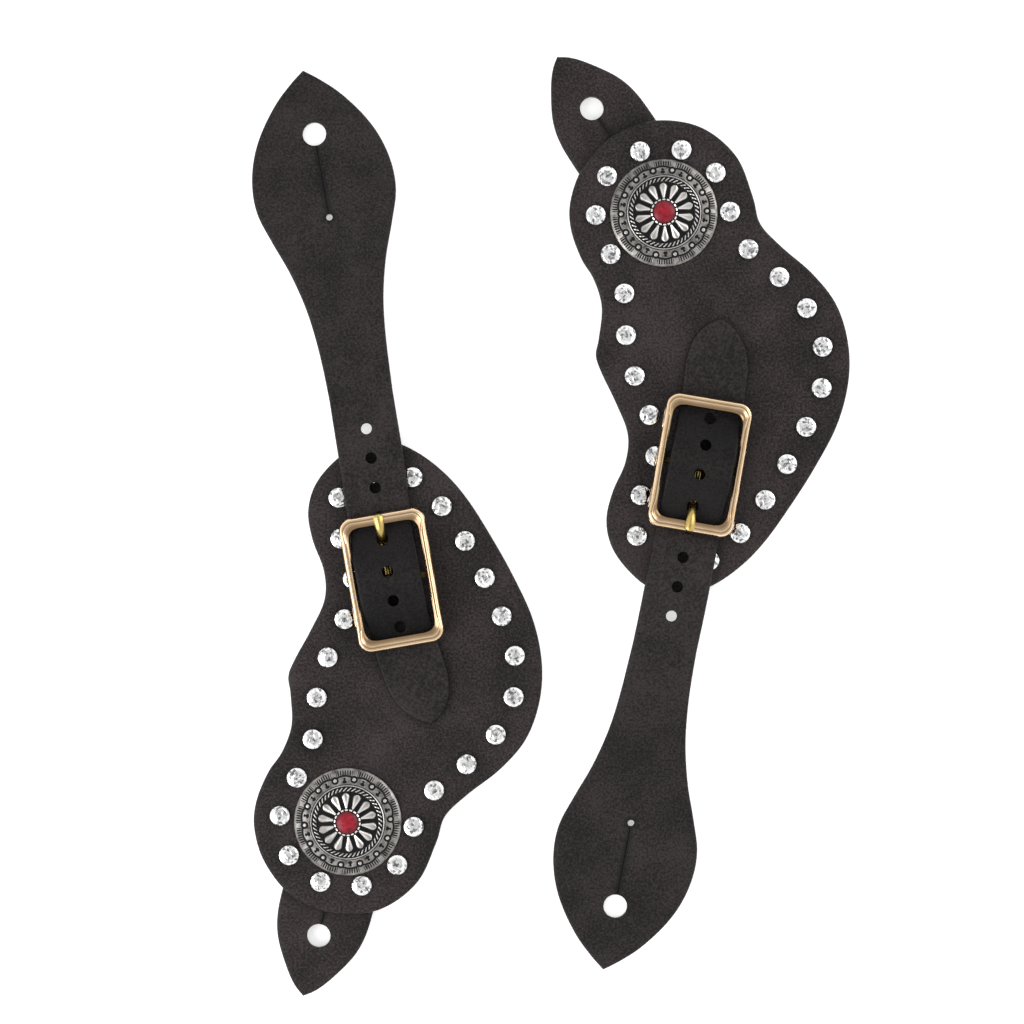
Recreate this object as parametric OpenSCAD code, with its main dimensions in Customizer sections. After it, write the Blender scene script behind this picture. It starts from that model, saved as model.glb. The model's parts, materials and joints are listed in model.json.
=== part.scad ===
// A pair of western spur straps, a left and a right hand of one design, laid flat and buckled.
// Frame: X across the pair, +Y away from the front, +Z up, and the straps lie on the plane z = 0.
// Each strap is drawn in its own frame: origin on the concho's axis, +Y towards the buckle.
// The right strap is the left one mirrored, and is put down the other way round.

/* [Leather] */
// Thickness of the wavy panel
panel_t = 3.6; // [2.5:0.1:5]
// Thickness of the billet that runs through the buckle
billet_t = 2.5; // [1.8:0.1:3.5]
// Thickness of the keyhole tab behind the panel
hanger_t = 2.9; // [2:0.1:4]
// Thickness of the chape leather round the buckle bar
chape_t = 1.1; // [0.8:0.1:1.6]
// Width of the straight part of the billet
billet_w = 22.8; // [19:0.1:24]
// Width of the hanger's straight part
hanger_w = 33.4; // [28:0.2:38]
// Width of the chape
chape_w = 20; // [14:0.5:22]

/* [Keyholes] */
// Diameter of the keyholes that go over a spur's buttons
keyhole_d = 8.4; // [7:0.1:10]
// Width of the cut that lets the button through
slit_w = 0.6; // [0.3:0.1:1.2]
// Length of the billet's cut, from hole centre to hole centre
billet_slit = 30.2; // [15:0.2:35]
// Length of the hanger's cut
hanger_slit = 14; // [8:0.5:18]
// Diameter of the small hole that ends a cut
slit_end_d = 2.8; // [2:0.1:4]

/* [Concho] */
// Diameter of the concho
concho_d = 38.1; // [30:0.1:45]
// Height of the concho's dome over the leather
concho_h = 4.2; // [2.5:0.1:7]
// Diameter of the red stone
stone_d = 8; // [6:0.1:12]
// Number of petals and of scallops round the dome
petals = 14; // [8:1:20]

/* [Crystals] */
// Number of crystals round one panel
crystal_count = 25; // [15:1:30]
// Diameter of a crystal's metal cup
cup_d = 7.3; // [5:0.1:9]
// Height of a cup over the leather
cup_h = 1; // [0.8:0.1:2]
// Height of a crystal's flat top over the leather
crystal_h = 1.6; // [1.3:0.1:3]

/* [Buckle] */
// Width of the gap that the billet passes, between the side rails
buckle_gap = 25.4; // [20:0.1:32]
// Length of the frame over its end rails
buckle_l = 48.6; // [35:0.1:60]
// Width of a rail
rail_w = 2.9; // [2.5:0.1:5]
// Height of a rail
rail_h = 3.4; // [2:0.1:5]
// Diameter of the centre bar
bar_d = 2.8; // [2:0.1:4]
// Width of the tongue at its widest
tongue_w = 3.6; // [2.5:0.1:5]

/* [Pose of the pair: left, right] */
// How far each hanger is turned from the strap's line, in degrees
hanger_turn = [4, 26.6]; // [0:0.1:40]
// How far each buckle is turned from the strap's line, in degrees
buckle_turn = [20.4, 17]; // [0:0.1:30]
// How far each billet is turned from its buckle, in degrees
billet_sway = [0.3, 1]; // [-1.5:0.1:1.5]
// How far each billet and its tongue lie off the middle of the buckle
billet_shift = [-0.8, 0]; // [-1:0.1:1]
// Distance from each billet's keyhole to the buckle's bar
billet_reach = [161.6, 160.2]; // [155:0.1:165]
// Distance from the concho's axis to each hanger's keyhole
hanger_reach = [42.6, 45.6]; // [38:0.1:50]

/* [Hidden] */
LEFT = 0;
RIGHT = 1;

// Where each strap lies, by its concho's axis
strap_pos = [[-71.8, -104.8], [40.4, 111.3]];
strap_turn = [-10.5, 7.3];
// Where each buckle's bar crosses the middle of the billet, in the strap's frame
buckle_pos = [[-0.1, 87.3], [1, 90.4]];

// Heights, from the surface up
gap = 0.3;
screw_head_t = 0.9;
hanger_z = screw_head_t + gap;
panel_z = hanger_z + hanger_t + gap;
top_z = panel_z + panel_t;
bar_z = top_z + crystal_h + gap + bar_d / 2;
rail_z = top_z + gap + billet_t + 1.1;
sky_z = rail_z + rail_h + 5;

// Fits and small parts
run_fit = 0.05;
edge_r = 0.5;
stem_d = 1.8;
back_d = 5.2;
back_t = 0.6;
boss_d = 5;
screw_d = 3.8;
screw_head_d = 11;
screw_slot_w = 1.2;
hanger_pivot_d = 5.6;
rivet_d = 2.4;
rivet_cap_d = 6;
rivet_cap_h = 0.9;
rivet_spread = 6;
rivet_back = 11;
chape_tail = 17;
ring_t = 1;
ring_w = 2.8;
tongue_t = 1.7;
tongue_tip_r = 1.5;
punch_d = 3.9;
tongue_slot = [3.8, 4.4];
tongue_end = buckle_l / 2 - 0.7;
cup_wall = 0.3;
cup_seat = 0.4;
crystal_clear = 0.05;

$fn = 64;

// The edge of a panel: a round end under the concho, a waist, a belly and a slanted buckle end.
PANEL_EDGE = [
    [0, -33.2], [16.5, -29], [28, -17.2], [32.2, -2], [33.6, 8], [40, 17], [49.8, 28], [56.8, 40],
    [59.2, 54], [57.5, 68], [51.6, 82.5], [42.2, 96], [32.3, 108], [21.2, 120], [11.2, 128],
    [0, 133.6], [-11, 135.6], [-21.5, 131.6], [-28.8, 124], [-33.4, 115], [-34, 105.5], [-30.6, 96],
    [-24.7, 86], [-22.6, 76], [-25.4, 64.5], [-29, 53.6], [-30.3, 47], [-28.4, 40.8], [-26, 30],
    [-27.6, 20], [-31.1, 12], [-33.4, 1], [-32.2, -9], [-26.3, -20], [-15, -29.6]
];

// The line that the crystals sit on, about 10 mm inside the edge. It starts under the billet.
CRYSTAL_LINE = [
    [-14.2, 123.1], [1.4, 124.2], [14, 114.7], [30.6, 96], [46.9, 70.4], [49.8, 54], [43.5, 34.9],
    [28.6, 17.4], [22.9, 1], [20.3, -11.4], [10, -21], [-5.6, -22.7], [-18.6, -15.2], [-24.1, -2],
    [-17.7, 24], [-19, 48], [-14.1, 71], [-13.9, 85], [-20.8, 98.2], [-24.3, 112]
];

// Half of the billet's outline, as [half width, distance from the keyhole] at the tip,
// and as [half width, distance from the buckle's bar] at the tail
billet_half = billet_w / 2;
BILLET_HEAD = [
    [0, 23.1], [5.4, 18.9], [11.7, 12.9], [18.4, 4], [22.9, -5], [25.3, -15], [25.1, -25],
    [21.6, -36], [17.3, -48], [13.9, -62], [12.2, -77], [billet_half, -95]
];
BILLET_SIDE = [for (u = [54:-6:-30]) [billet_half, u]];
BILLET_TAIL = [[billet_half, -36], [9.5, -43.5], [5.4, -49.4], [0, -52.8]];

// How far each billet's middle line strays to the side, as [distance from the bar, sideways]
BILLET_BEND = [
    [[-60, 5.7], [-36, 3.1], [-17, 0.7], [-5, 0.05], [14, 0], [33, 0.7], [46, 1.2], [200, 1.2]],
    [[-60, -2.6], [-36, -0.6], [-17, 0.3], [14, 0], [33, 0], [200, 0]]
];

// Half of the hanger's pointed end, as [half width, distance from the keyhole], from tip inwards
HANGER_HEAD = [
    [0, 22.2], [3.5, 19.6], [7, 15.6], [12.2, 7.6], [15, 1.4], [16.4, -5.5], [hanger_w / 2, -14]
];

// Distance from the buckle's bar to the tongue's hole in the billet
tongue_reach = 14.9;
// The other punched holes, four towards the keyhole and three towards the tail, by their distance
// from the bar. The leather's slopes under and over the buckle shorten the steps as seen from above.
HOLES_OUT = [for (i = [0:3]) tongue_reach + 7.7 + 10.6 * i];
HOLES_IN = [3.3, -7.2, -16.9];

// Height of the billet's underside along it, as [distance from the bar, height over the panel].
// From the tail it goes under a rail, over the bar, under the other rail, over the crystals and down.
BILLET_RISE = [
    [-60, gap], [-21, gap], [-5, 6], [5, 6], [22, 0.8], [25, 0.8], [29, 1.9], [42, 1.9],
    [84, -top_z], [191, -top_z]
];

// Middle line of the tongue past its ring, as [distance from the bar, height over the panel]
rail_top = rail_z + rail_h - top_z;
TONGUE_LINE = [
    [0, 3.3], [4, 3.1], [8, 2.2], [11.2, 1.5], [13.5, 1.6], [14.7, 4], [16.1, 6.3], [18.3, 7.9],
    [20.8, rail_top + gap + tongue_t / 2], [tongue_end, rail_top + gap + tongue_t / 2]
];

// A point on a smooth curve between b and c
function curve_point(a, b, c, d, t) =
    0.5 * (2 * b + (c - a) * t + (2 * a - 5 * b + 4 * c - d) * t * t + (3 * b - a - 3 * c + d) * t * t * t);

// A smooth closed curve through the points p, with n steps between neighbours
function closed_curve(p, n) =
    let (m = len(p))
    [for (i = [0:m - 1], k = [0:n - 1])
        curve_point(p[(i + m - 1) % m], p[i], p[(i + 1) % m], p[(i + 2) % m], k / n)];

// A smooth open curve through the points p, with n steps between neighbours
function open_curve(p, n) =
    let (m = len(p), last = m - 1)
    [for (i = [0:m - 2], k = [0:(i == m - 2 ? n : n - 1)])
        curve_point(p[max(i - 1, 0)], p[i], p[i + 1], p[min(i + 2, last)], k / n)];

// How far the billet strays sideways at the distance u from the bar
function stray(side, u) =
    let (bend = BILLET_BEND[side], i = max([for (k = [0:len(bend) - 2]) if (bend[k].x <= u) k]))
    let (a = bend[max(i - 1, 0)], b = bend[i], c = bend[i + 1], d = bend[min(i + 2, len(bend) - 1)])
    curve_point(a.y, b.y, c.y, d.y, (u - b.x) / (c.x - b.x));

// A half outline and its mirror image, as one closed outline
function both_sides(half) =
    let (m = len(half))
    concat(half, [for (i = [m - 1:-1:0]) if (half[i].x > 0.01) [-half[i].x, half[i].y]]);

// Running length along a closed line, with the way back to the start as its last value
function running_length(p, i = 0, sum = 0) =
    i == len(p) ? [sum] : concat([sum], running_length(p, i + 1, sum + norm(p[(i + 1) % len(p)] - p[i])));

// The point at the length s along a closed line p with the running lengths l
function point_at(p, l, s) =
    let (i = max([for (k = [0:len(p) - 1]) if (l[k] <= s) k]), t = (s - l[i]) / (l[i + 1] - l[i]))
    p[i] + (p[(i + 1) % len(p)] - p[i]) * t;

// Height between the stations of a profile, eased from one to the next
function eased(stations, u) =
    let (i = max([for (k = [0:len(stations) - 2]) if (stations[k].x <= u) k]))
    let (a = stations[i], b = stations[i + 1], t = (u - a.x) / (b.x - a.x))
    a.y + (b.y - a.y) * (1 - cos(180 * t)) / 2;

// The crystals' places: equal steps along their line
crystal_path = closed_curve(CRYSTAL_LINE, 8);
crystal_length = running_length(crystal_path);
crystal_step = crystal_length[len(crystal_path)] / crystal_count;
CRYSTALS = [for (i = [0:crystal_count - 1]) point_at(crystal_path, crystal_length, i * crystal_step)];

module place(side) {
    translate(concat(strap_pos[side], 0))
        rotate(strap_turn[side])
            mirror([0, side, 0])
                children();
}

module at_crystals() {
    for (p = CRYSTALS)
        translate(p)
            children();
}

// The buckle's own frame: origin on the bar, +Y towards the tongue's tip
module at_buckle(side) {
    translate(buckle_pos[side])
        rotate(buckle_turn[side])
            children();
}

// The billet's own frame: origin level with the bar, turned about the tongue's hole
module at_billet(side) {
    at_buckle(side)
        translate([billet_shift[side], tongue_reach])
            rotate(billet_sway[side])
                translate([0, -tongue_reach])
                    children();
}

module at_rivets() {
    for (x = [-rivet_spread, rivet_spread])
        translate([x, -rivet_back])
            children();
}

// A pill-shaped hole outline
module slot(width, length) {
    square([width, length - width], center = true);
    for (y = [-1, 1])
        translate([0, y * (length - width) / 2])
            circle(d = width);
}

module keyhole(length) {
    circle(d = keyhole_d);
    translate([-slit_w / 2, -length])
        square([slit_w, length]);
    translate([0, -length])
        circle(d = slit_end_d);
}

module panel(side) {
    slot_l = bar_d + 2 * (run_fit + chape_t + gap);
    color("#2e2a2a")
        place(side)
            translate([0, 0, panel_z])
                difference() {
                    linear_extrude(panel_t)
                        difference() {
                            polygon(closed_curve(PANEL_EDGE, 5));
                            circle(d = boss_d + 2 * run_fit);
                            at_crystals()
                                circle(d = stem_d + 2 * run_fit, $fn = 24);
                            at_buckle(side) {
                                square([chape_w + 2 * gap, slot_l], center = true);
                                at_rivets()
                                    circle(d = rivet_d + 2 * run_fit);
                            }
                        }
                    // Seats that the rivet backs are pressed into
                    translate([0, 0, -1])
                        linear_extrude(back_t + 1)
                            at_crystals()
                                circle(d = back_d + 2 * run_fit, $fn = 32);
                }
}

module hanger(side) {
    reach = hanger_reach[side];
    half_w = hanger_w / 2;
    head = open_curve(HANGER_HEAD, 5);
    round_end = [for (a = [0:7.5:90]) [half_w * cos(a), -reach - half_w * sin(a)]];
    color("#2c2828")
        place(side)
            translate([0, 0, hanger_z])
                rotate(180 - hanger_turn[side])
                    linear_extrude(hanger_t)
                        difference() {
                            translate([0, reach])
                                polygon(both_sides(concat(head, round_end)));
                            circle(d = hanger_pivot_d);
                            translate([0, reach])
                                keyhole(hanger_slit);
                        }
}

// Puts something on the billet's middle line, at the distance u from the bar
module on_billet(side, u) {
    translate([stray(side, u), u])
        children();
}

// The billet's outline, in its own frame
module billet_outline(side) {
    reach = billet_reach[side];
    head = [for (p = open_curve(BILLET_HEAD, 5)) p + [0, reach]];
    tail = open_curve(BILLET_TAIL, 5);
    outline = both_sides(concat(head, BILLET_SIDE, tail));
    difference() {
        polygon([for (p = outline) p + [stray(side, p.y), 0]]);
        on_billet(side, reach)
            keyhole(billet_slit);
        for (u = concat(HOLES_OUT, HOLES_IN))
            on_billet(side, u)
                circle(d = punch_d, $fn = 32);
        on_billet(side, tongue_reach)
            slot(tongue_slot.x, tongue_slot.y);
    }
}

// The billet from the side: a band that follows the eased heights
module billet_band() {
    stops = [for (u = [BILLET_RISE[0].x:2:BILLET_RISE[len(BILLET_RISE) - 1].x - 1]) u];
    under = [for (u = stops) [u, eased(BILLET_RISE, u)]];
    over = [for (i = [len(under) - 1:-1:0]) under[i] + [0, billet_t]];
    polygon(concat(under, over));
}

module billet(side) {
    band_w = 60;
    color("#302c2c")
        place(side)
            at_billet(side)
                intersection() {
                    linear_extrude(sky_z)
                        billet_outline(side);
                    translate([-band_w / 2, 0, top_z])
                        rotate([90, 0, 90])
                            linear_extrude(band_w)
                                billet_band();
                }
}

// The chape from the side: over the bar, down through the panel, and both tails back behind it
module chape_profile() {
    inner = bar_d / 2 + run_fit;
    outer = inner + chape_t;
    tails_z = panel_z - 2 * chape_t;
    difference() {
        union() {
            translate([0, bar_z])
                circle(r = outer);
            translate([-outer, tails_z])
                square([2 * outer, bar_z - tails_z]);
            translate([-chape_tail, tails_z])
                square([chape_tail, 2 * chape_t - run_fit]);
        }
        translate([0, bar_z])
            circle(r = inner);
        translate([-inner, tails_z + chape_t])
            square([2 * inner, bar_z - tails_z - chape_t]);
    }
}

module chape(side) {
    window = [ring_w + 2 * gap, 10, sky_z];
    window_x = billet_shift[side] - window.x / 2;
    color("#2a2626")
        place(side)
            at_buckle(side)
                difference() {
                    translate([-chape_w / 2, 0, 0])
                        rotate([90, 0, 90])
                            linear_extrude(chape_w)
                                chape_profile();
                    // Window for the tongue's ring
                    translate([window_x, -window.y / 2, panel_z - chape_t + gap])
                        cube(window);
                    at_rivets()
                        translate([0, 0, -1])
                            cylinder(d = rivet_d + 2 * run_fit, h = top_z);
                }
}

module chape_rivets(side) {
    foot_z = panel_z - 2 * chape_t;
    color("#8f8a82")
        place(side)
            at_buckle(side)
                at_rivets()
                    rotate_extrude()
                        polygon([
                            [0, foot_z - rivet_cap_h], [rivet_cap_d / 2 - edge_r, foot_z - rivet_cap_h],
                            [rivet_cap_d / 2, foot_z - rivet_cap_h + edge_r], [rivet_cap_d / 2, foot_z],
                            [rivet_d / 2, foot_z], [rivet_d / 2, top_z], [rivet_cap_d / 2, top_z],
                            [rivet_cap_d / 2, top_z + 0.3], [rivet_cap_d / 2 - 1, top_z + 0.7],
                            [0, top_z + rivet_cap_h]
                        ]);
}

// Cross-section of a rail: flat below, round above
module rail_profile() {
    round_r = 2.1;
    intersection() {
        translate([-rail_w / 2, 0])
            square([rail_w, rail_h]);
        translate([0, rail_h - round_r])
            circle(r = round_r);
    }
}

module rail(length) {
    translate([0, length / 2, 0])
        rotate([90, 0, 0])
            linear_extrude(length)
                rail_profile();
}

// Half of the frame's opening, as [half width, distance from the bar]
OPENING = [[12.7, 0], [12.7, 9], [12.7, 14.5], [12.2, 17.3], [10.8, 19.2], [8.4, 19.9], [0, 19.9]];

// A quarter of the flange, between the opening and the middle of the rails
module flange_quarter(half_opening, mid_x, mid_y, bend) {
    corner = [for (a = [90:-15:0]) [mid_x - bend, mid_y - bend] + bend * [cos(a), sin(a)]];
    polygon(concat(half_opening, [[0, mid_y]], corner, [[mid_x, 0]]));
}

module buckle_frame(side) {
    bend = 3.4;
    // Low flange that narrows the opening at its ends
    flange_z = rail_z + 0.7;
    flange_t = 1.1;
    mid_x = (buckle_gap + rail_w) / 2;
    mid_y = (buckle_l - rail_w) / 2;
    half_opening = open_curve(OPENING, 4);
    color("#d8b27a")
        place(side)
            at_buckle(side) {
                translate([0, 0, rail_z]) {
                    for (s = [-1, 1])
                        translate([s * mid_x, 0, 0])
                            rail(2 * (mid_y - bend));
                    for (s = [-1, 1])
                        translate([0, s * mid_y, 0])
                            rotate(90)
                                rail(2 * (mid_x - bend));
                    for (x = [0, 1], y = [0, 1])
                        mirror([x, 0, 0])
                            mirror([0, y, 0])
                                translate([mid_x - bend, mid_y - bend, 0])
                                    rotate_extrude(angle = 90)
                                        translate([bend, 0])
                                            rail_profile();
                }
                translate([0, 0, flange_z])
                    linear_extrude(flange_t)
                        for (x = [0, 1], y = [0, 1])
                            mirror([x, 0])
                                mirror([0, y])
                                    flange_quarter(half_opening, mid_x, mid_y, bend);
                // Centre bar, with a lug at each end that joins it to the side rail
                translate([-mid_x, 0, bar_z])
                    rotate([0, 90, 0])
                        cylinder(d = bar_d, h = 2 * mid_x);
                for (s = [-1, 1])
                    translate([s * mid_x, 0, bar_z]) {
                        sphere(d = bar_d);
                        cylinder(d = bar_d, h = rail_z + 1.6 - bar_z);
                    }
            }
}

// The tongue from the side: its ring round the bar and its arm up through the billet
module tongue_profile() {
    line = open_curve(TONGUE_LINE, 5);
    m = len(line);
    function normal_at(i) =
        let (d = line[min(i + 1, m - 1)] - line[max(i - 1, 0)])
        [-d.y, d.x] / norm(d) * tongue_t / 2;
    lower = [for (i = [0:m - 1]) line[i] - normal_at(i)];
    upper = [for (i = [m - 1:-1:0]) line[i] + normal_at(i)];
    hole_d = bar_d + 2 * run_fit;
    difference() {
        union() {
            translate([0, bar_z - top_z])
                circle(d = hole_d + 2 * ring_t);
            polygon(concat(lower, upper));
        }
        translate([0, bar_z - top_z])
            circle(d = hole_d);
    }
}

// The tongue from above: a narrow neck in the billet's hole, a wider back and a round tip
module tongue_outline() {
    neck = ring_w / 2;
    back = tongue_w / 2;
    half = open_curve([[neck, -4], [neck, 3], [1.25, 9], [1.25, 15], [back - 0.1, 19.5], [back, 21]], 5);
    tip = [for (a = [0:15:90]) [0, tongue_end - tongue_tip_r] + tongue_tip_r * [cos(a), sin(a)]];
    polygon(both_sides(concat(half, tip)));
}

module tongue(side) {
    color("#b8953f")
        place(side)
            at_buckle(side)
                translate([billet_shift[side], 0])
                    intersection() {
                        linear_extrude(sky_z)
                            tongue_outline();
                        translate([-tongue_w, 0, top_z])
                            rotate([90, 0, 90])
                                linear_extrude(2 * tongue_w)
                                    tongue_profile();
                    }
}

// A ring of equal pieces about the concho's axis
module around(count, start = 0) {
    for (i = [0:count - 1])
        rotate(start + i * 360 / count)
            children();
}

module concho(side) {
    r = concho_d / 2;
    shell = 0.9;
    // Height of the dome's flat border, and of the floor that the stone sits on
    border_h = concho_h - 2;
    floor_h = concho_h - 1.1;
    dome = [
        [stone_d / 2, floor_h], [stone_d / 2, concho_h - 0.2], [4.9, concho_h - 0.2], [5, floor_h],
        [9.9, border_h + 0.1], [12.9, border_h], [13.6, border_h + 0.1], [17.4, 1.3], [18.4, 0.9], [r, 0.5]
    ];
    inside = [[r, 0], [r - 2, 0], [13, border_h - shell], [0, border_h - shell]];
    petal = [[5.1, 0.45], [9.2, 0.95], [10, 0.5], [10.2, 0], [10, -0.5], [9.2, -0.95], [5.1, -0.45]];
    boss_l = panel_t + hanger_t + gap;
    color("#a8a29a")
        place(side)
            translate([0, 0, top_z]) {
                // Dished shell with its threaded boss
                difference() {
                    union() {
                        rotate_extrude($fn = 96)
                            polygon(concat([[0, floor_h]], dome, inside));
                        translate([0, 0, -boss_l])
                            cylinder(d = boss_d, h = boss_l + border_h);
                    }
                    translate([0, 0, -boss_l - 1])
                        cylinder(d = screw_d + 2 * run_fit, h = boss_l + 1.7);
                }
                // Raised ring outside the rope border, and the rope border
                translate([0, 0, border_h])
                    rotate_extrude($fn = 96)
                        translate([13.2, 0])
                            circle(r = 0.4, $fn = 24);
                around(3 * petals)
                    translate([11.6, 0, border_h])
                        rotate(35)
                            linear_extrude(0.5)
                                slot(0.75, 2.1);
                around(petals)
                    translate([0, 0, border_h + 0.1])
                        linear_extrude(0.9)
                            polygon(petal);
                // Small rings at the cusps of the scallops
                around(petals, 180 / petals)
                    translate([15, 0, 1.2])
                        linear_extrude(1.4)
                            difference() {
                                circle(r = 0.9, $fn = 24);
                                circle(r = 0.5, $fn = 24);
                            }
            }
}

module concho_stone(side) {
    stone_h = 1.9;
    dome_h = 1;
    cap_r = (pow(stone_d / 2, 2) + dome_h * dome_h) / (2 * dome_h);
    color("#b01c30")
        place(side)
            translate([0, 0, top_z + concho_h - 1.1])
                intersection() {
                    cylinder(d = stone_d - 2 * run_fit, h = stone_h);
                    translate([0, 0, stone_h - cap_r])
                        sphere(r = cap_r, $fn = 96);
                }
}

module concho_screw(side) {
    slot_depth = 0.4;
    color("#98938b")
        place(side)
            difference() {
                union() {
                    cylinder(d = screw_head_d, h = screw_head_t);
                    cylinder(d = screw_d, h = top_z);
                }
                translate([-screw_head_d / 2, -screw_slot_w / 2, -1])
                    cube([screw_head_d, screw_slot_w, 1 + slot_depth]);
            }
}

module crystals(side) {
    girdle_r = cup_d / 2 - cup_wall - crystal_clear;
    girdle_z = top_z + cup_h - 0.1;
    table_r = girdle_r * 0.6;
    tip_z = top_z + cup_seat + crystal_clear;
    color("#e8ecf0")
        place(side)
            at_crystals()
                rotate_extrude($fn = 24)
                    polygon([
                        [0, tip_z], [girdle_r, girdle_z], [girdle_r, girdle_z + 0.2],
                        [table_r, top_z + crystal_h], [0, top_z + crystal_h]
                    ]);
}

module crystal_cups(side) {
    out_r = cup_d / 2;
    in_r = out_r - cup_wall;
    rim_z = top_z + cup_h;
    foot_z = panel_z + back_t;
    color("#9a9a98")
        place(side)
            at_crystals()
                rotate_extrude($fn = 24)
                    polygon([
                        [0, foot_z], [stem_d / 2, foot_z], [stem_d / 2, top_z], [out_r, top_z],
                        [out_r, rim_z], [in_r, rim_z], [in_r, rim_z - 0.15],
                        [1, top_z + cup_seat], [0, top_z + cup_seat]
                    ]);
}

module rivet_backs(side) {
    color("#9a9a98")
        place(side)
            translate([0, 0, panel_z])
                at_crystals()
                    cylinder(d = back_d, h = back_t, $fn = 32);
}

panel(LEFT);  // left_panel
hanger(LEFT);  // left_hanger
billet(LEFT);  // left_billet
chape(LEFT);  // left_chape
chape_rivets(LEFT);  // left_chape_rivets
buckle_frame(LEFT);  // left_buckle_frame
tongue(LEFT);  // left_tongue
concho(LEFT);  // left_concho
concho_stone(LEFT);  // left_concho_stone
concho_screw(LEFT);  // left_concho_screw
crystals(LEFT);  // left_crystals
crystal_cups(LEFT);  // left_crystal_cups
rivet_backs(LEFT);  // left_rivet_backs
panel(RIGHT);  // right_panel
hanger(RIGHT);  // right_hanger
billet(RIGHT);  // right_billet
chape(RIGHT);  // right_chape
chape_rivets(RIGHT);  // right_chape_rivets
buckle_frame(RIGHT);  // right_buckle_frame
tongue(RIGHT);  // right_tongue
concho(RIGHT);  // right_concho
concho_stone(RIGHT);  // right_concho_stone
concho_screw(RIGHT);  // right_concho_screw
crystals(RIGHT);  // right_crystals
crystal_cups(RIGHT);  // right_crystal_cups
rivet_backs(RIGHT);  // right_rivet_backs
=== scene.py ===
import json
import math
import random

import bpy
import numpy as np
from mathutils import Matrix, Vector
from mathutils.geometry import delaunay_2d_cdt


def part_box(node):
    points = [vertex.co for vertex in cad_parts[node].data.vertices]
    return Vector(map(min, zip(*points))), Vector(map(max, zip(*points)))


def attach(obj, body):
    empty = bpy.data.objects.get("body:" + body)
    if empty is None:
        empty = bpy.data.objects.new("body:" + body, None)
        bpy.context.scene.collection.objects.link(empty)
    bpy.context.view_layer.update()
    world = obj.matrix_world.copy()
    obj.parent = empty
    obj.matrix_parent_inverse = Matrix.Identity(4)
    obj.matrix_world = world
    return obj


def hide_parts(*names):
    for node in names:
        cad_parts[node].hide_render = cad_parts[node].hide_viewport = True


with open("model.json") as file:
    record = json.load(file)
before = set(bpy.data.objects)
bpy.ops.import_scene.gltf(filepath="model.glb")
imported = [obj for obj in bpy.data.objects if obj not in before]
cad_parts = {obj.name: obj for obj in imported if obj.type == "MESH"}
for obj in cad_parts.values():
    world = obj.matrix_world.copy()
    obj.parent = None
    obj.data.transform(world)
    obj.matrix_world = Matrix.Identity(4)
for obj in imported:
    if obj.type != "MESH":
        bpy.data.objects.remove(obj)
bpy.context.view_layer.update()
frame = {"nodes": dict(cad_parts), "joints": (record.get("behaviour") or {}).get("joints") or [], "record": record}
MM = 0.001
RECORD = frame["record"]
JOINTS = {j["name"]: j for j in frame["joints"]}
MOUNTS = {m["name"]: m for m in RECORD["mounts"]}
SIDES = ("left", "right")

# Sizes shared with the CAD source, in millimetres
TOP_Z = 8.0
PANEL_Z = 4.4
HANGER_Z = 1.2
BILLET_T = 2.5
HANGER_T = 2.9
RAIL_Z = 11.9
RAIL_W = 2.9
BUCKLE_GAP, BUCKLE_L = 25.4, 48.6
CORNER = 3.4
BAR_D = 2.8
BAR_Z = 11.3
CONCHO_R = 19.05
STONE_R = 4.0
PETALS = 14
CUP_R = 3.65
KEYHOLE_R, CUT_END_R = 4.2, 1.4
TONGUE_LINE = [
    (0, 3.3), (4, 3.1), (8, 2.2), (11.2, 1.5), (13.5, 1.6), (14.7, 4), (16.1, 6.3), (18.3, 7.9),
    (20.8, 8.45), (23.6, 8.45)
]
OPENING = [(12.6, 0), (12.6, 9), (12.6, 14.2), (12.1, 17.3), (10.7, 19.2), (8.4, 19.9), (0, 19.9)]

# The hanger lies a little low, so that it clears the panel's underside and rivet backs as it swivels
HANGER_DROP = 0.13
# Rounding of the leather's edge round a hole
HOLE_ROUND = 0.35
# Outline points this near a cut's line are on its two faces
CUT_REACH = 0.35
# Share of the gap between the faces that closes, and share of the end hole's width that is left
CUT_CLOSED, CUT_HOLE_LEFT = 0.98, 0.84
# Material slots of a leather piece
GRAIN, EDGE, FLESH = 0, 1, 2
# Height of the concho's face under its stone
SEAT_Z = 3.1


# ---------------------------------------------------------------- meshes

def make(name, verts, faces, materials, face_slots=None, smooth=True, sharp=None):
    """A new object from points in millimetres."""
    mesh = bpy.data.meshes.new(name)
    mesh.from_pydata((np.asarray(verts, float) * MM).tolist(), [], [list(map(int, f)) for f in faces])
    for m in materials:
        mesh.materials.append(m)
    if face_slots is not None:
        mesh.polygons.foreach_set("material_index", np.asarray(face_slots, np.int32))
    mesh.polygons.foreach_set("use_smooth", np.full(len(mesh.polygons), smooth))
    if sharp:
        mesh.set_sharp_from_angle(angle=math.radians(sharp))
    mesh.update()
    obj = bpy.data.objects.new(name, mesh)
    bpy.context.scene.collection.objects.link(obj)
    return obj


class Builder:
    """Collects points and faces of several parts into one mesh."""

    def __init__(self):
        self.verts, self.faces, self.slots, self.count = [], [], [], 0

    def add(self, verts, faces, slot=0):
        verts = np.asarray(verts, float).reshape(-1, 3)
        self.verts.append(verts)
        self.faces += [[int(i) + self.count for i in f] for f in faces]
        self.slots += [slot] * len(faces)
        self.count += len(verts)

    def object(self, name, materials, **options):
        return make(name, np.vstack(self.verts), self.faces, materials, self.slots, **options)


def paint(obj, label, values):
    """A value at every point of the mesh, for its material to read."""
    attribute = obj.data.attributes.new(label, "FLOAT", "POINT")
    attribute.data.foreach_set("value", np.asarray(values).astype(np.float32))


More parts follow.
